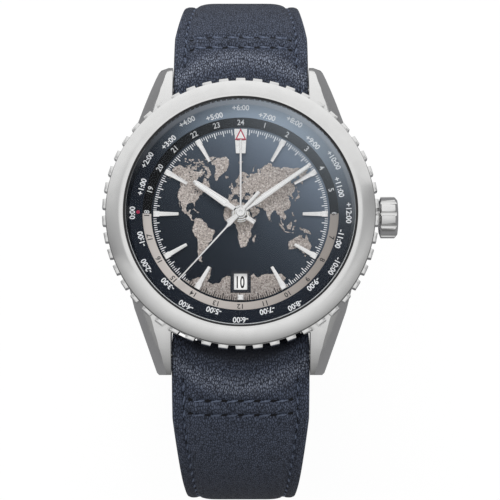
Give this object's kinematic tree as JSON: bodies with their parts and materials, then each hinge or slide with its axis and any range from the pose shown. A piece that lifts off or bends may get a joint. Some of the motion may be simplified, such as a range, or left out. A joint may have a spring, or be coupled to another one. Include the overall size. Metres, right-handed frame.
{
  "type": "world-time wristwatch",
  "caption": "Round steel wristwatch with notched turning bezel, city ring, day-night hour ring, four hands, date window, fluted crown and open curved leather strap.",
  "frame": {"origin": "centre of the case back's outer face, where the watch lies on the wrist", "axes": "+Z out of the dial, +Y towards 12 o'clock, +X towards 3 o'clock and the crown"},
  "size_m": [0.0435, 0.0796, 0.0755],
  "materials": {
    "polished_steel": "polished",
    "brushed_steel": "brushed",
    "sapphire": "clear",
    "black_rubber": "matte",
    "dial_navy": "matte",
    "ring_two_tone": "matte",
    "map_taupe": "grained",
    "marker_steel": "polished",
    "hand_red": "satin",
    "date_white": "matte",
    "movement_rhodium": "striped",
    "gear_brass": "satin",
    "blued_steel": "blued",
    "ruby": "clear",
    "navy_leather": "grained"
  },
  "bodies": {
    "case": {"case_middle": "polished_steel", "case_back": "brushed_steel", "back_window": "sapphire", "back_gasket": "black_rubber", "crown_tube": "brushed_steel", "spring_bars": "brushed_steel", "bezel_gasket": "black_rubber", "click_spring": "brushed_steel", "hour_24_ring": "ring_two_tone", "dial": "dial_navy", "world_map": "map_taupe", "hour_markers": "marker_steel", "date_frame": "dial_navy", "casing_ring": "brushed_steel", "main_plate": "movement_rhodium", "barrel_bridge": "movement_rhodium", "train_bridge": "movement_rhodium", "balance_cock": "movement_rhodium", "bridge_screws": "blued_steel", "jewels": "ruby", "hairspring": "blued_steel", "rotor_bearing": "brushed_steel"},
    "bezel_group": {"bezel": "polished_steel", "crystal": "sapphire", "crystal_gasket": "black_rubber", "city_ring": "dial_navy"},
    "winding": {"winding_pinion": "gear_brass"},
    "crown_group": {"crown": "polished_steel", "winding_stem": "brushed_steel", "crown_gasket": "black_rubber"},
    "minute_group": {"minute_hand": "marker_steel", "cannon_pinion": "brushed_steel"},
    "hour_group": {"hour_hand": "marker_steel", "hour_wheel": "gear_brass"},
    "gmt_group": {"gmt_hand": "hand_red", "gmt_wheel": "gear_brass"},
    "minute_work": {"minute_wheel": "gear_brass"},
    "second_group": {"second_hand": "marker_steel", "fourth_wheel": "gear_brass"},
    "third_group": {"third_wheel": "gear_brass"},
    "centre_group": {"centre_wheel": "gear_brass"},
    "barrel_group": {"barrel": "gear_brass"},
    "ratchet_group": {"ratchet_wheel": "brushed_steel"},
    "escape_group": {"escape_wheel": "gear_brass"},
    "fork_group": {"pallet_fork": "brushed_steel"},
    "balance_group": {"balance_wheel": "gear_brass"},
    "date_group": {"date_disc": "date_white"},
    "rotor_group": {"rotor": "movement_rhodium"},
    "strap_12_group": {"strap_12": "navy_leather", "fixed_keeper": "navy_leather"},
    "strap_6_group": {"strap_6": "navy_leather"},
    "sliding_keeper_group": {"sliding_keeper": "navy_leather"},
    "buckle_group": {"buckle_frame": "polished_steel", "buckle_bar": "brushed_steel"},
    "tongue_group": {"buckle_tongue": "polished_steel"}
  },
  "joints": [
    {"name": "bezel_turn", "type": "hinge", "parent": "case", "child": "bezel_group", "pos_m": [0, 0, 0.0082], "axis": [0, 0, 1], "continuous": true},
    {"name": "crown_turn", "type": "hinge", "parent": "case", "child": "winding", "pos_m": [0.012, 0, 0.00467], "axis": [1, 0, 0], "continuous": true},
    {"name": "crown_pull", "type": "slide", "parent": "winding", "child": "crown_group", "axis": [1, 0, 0], "range_m": [0, 0.0012]},
    {"name": "minute_turn", "type": "hinge", "parent": "case", "child": "minute_group", "pos_m": [0, 0, 0.0085], "axis": [0, 0, 1], "continuous": true},
    {"name": "hour_turn", "type": "hinge", "parent": "case", "child": "hour_group", "pos_m": [0, 0, 0.008], "axis": [0, 0, 1], "continuous": true},
    {"name": "gmt_turn", "type": "hinge", "parent": "case", "child": "gmt_group", "pos_m": [0, 0, 0.0076], "axis": [0, 0, 1], "continuous": true},
    {"name": "minute_work_turn", "type": "hinge", "parent": "case", "child": "minute_work", "pos_m": [0.00151, 0.00216, 0.006], "axis": [0, 0, 1], "continuous": true},
    {"name": "second_turn", "type": "hinge", "parent": "case", "child": "second_group", "pos_m": [0, 0, 0.009], "axis": [0, 0, 1], "continuous": true},
    {"name": "third_turn", "type": "hinge", "parent": "case", "child": "third_group", "pos_m": [-0.00423, -0.00154, 0.0033], "axis": [0, 0, 1], "continuous": true},
    {"name": "centre_turn", "type": "hinge", "parent": "case", "child": "centre_group", "pos_m": [0, 0, 0.0036], "axis": [0, 0, 1], "continuous": true},
    {"name": "barrel_turn", "type": "hinge", "parent": "case", "child": "barrel_group", "pos_m": [-0.00294, 0.00509, 0.004], "axis": [0, 0, 1], "continuous": true},
    {"name": "escape_turn", "type": "hinge", "parent": "case", "child": "escape_group", "pos_m": [0.00216, -0.00374, 0.0033], "axis": [0, 0, 1], "continuous": true},
    {"name": "ratchet_turn", "type": "hinge", "parent": "case", "child": "ratchet_group", "pos_m": [-0.00294, 0.00509, 0.003], "axis": [0, 0, 1], "continuous": true},
    {"name": "fork_swing", "type": "hinge", "parent": "case", "child": "fork_group", "pos_m": [0.00286, -0.00609, 0.0033], "axis": [0, 0, 1], "range_deg": [-5, 5]},
    {"name": "balance_swing", "type": "hinge", "parent": "case", "child": "balance_group", "pos_m": [0.00352, -0.00829, 0.0037], "axis": [0, 0, 1], "range_deg": [-270, 270]},
    {"name": "date_turn", "type": "hinge", "parent": "case", "child": "date_group", "pos_m": [0, 0, 0.0065], "axis": [0, 0, 1], "continuous": true},
    {"name": "rotor_turn", "type": "hinge", "parent": "case", "child": "rotor_group", "pos_m": [0, 0, 0.0018], "axis": [0, 0, 1], "continuous": true},
    {"name": "strap_12_swing", "type": "hinge", "parent": "case", "child": "strap_12_group", "pos_m": [0, 0.0202, 0.0019], "axis": [1, 0, 0], "range_deg": [-15, 60]},
    {"name": "strap_6_swing", "type": "hinge", "parent": "case", "child": "strap_6_group", "pos_m": [0, -0.0202, 0.0019], "axis": [-1, 0, 0], "range_deg": [-15, 60]},
    {"name": "keeper_slide", "type": "slide", "parent": "strap_12_group", "child": "sliding_keeper_group", "axis": [0, 1, 0], "range_m": [0, 0.003]},
    {"name": "buckle_swing", "type": "hinge", "parent": "strap_12_group", "child": "buckle_group", "pos_m": [0, 0.00198, -0.03944], "axis": [1, 0, 0], "range_deg": [-25, 35]},
    {"name": "tongue_swing", "type": "hinge", "parent": "buckle_group", "child": "tongue_group", "pos_m": [0, 0.00198, -0.03944], "axis": [1, 0, 0], "range_deg": [0, 75]}
  ],
  "couplings": [
    {"joint": "hour_turn", "follows": "minute_turn", "ratio": 0.083333},
    {"joint": "gmt_turn", "follows": "minute_turn", "ratio": 0.041667},
    {"joint": "minute_work_turn", "follows": "minute_turn", "ratio": -0.33333},
    {"joint": "third_turn", "follows": "second_turn", "ratio": -0.13333},
    {"joint": "centre_turn", "follows": "second_turn", "ratio": 0.016667},
    {"joint": "barrel_turn", "follows": "second_turn", "ratio": -0.0027778},
    {"joint": "escape_turn", "follows": "second_turn", "ratio": -12}
  ]
}
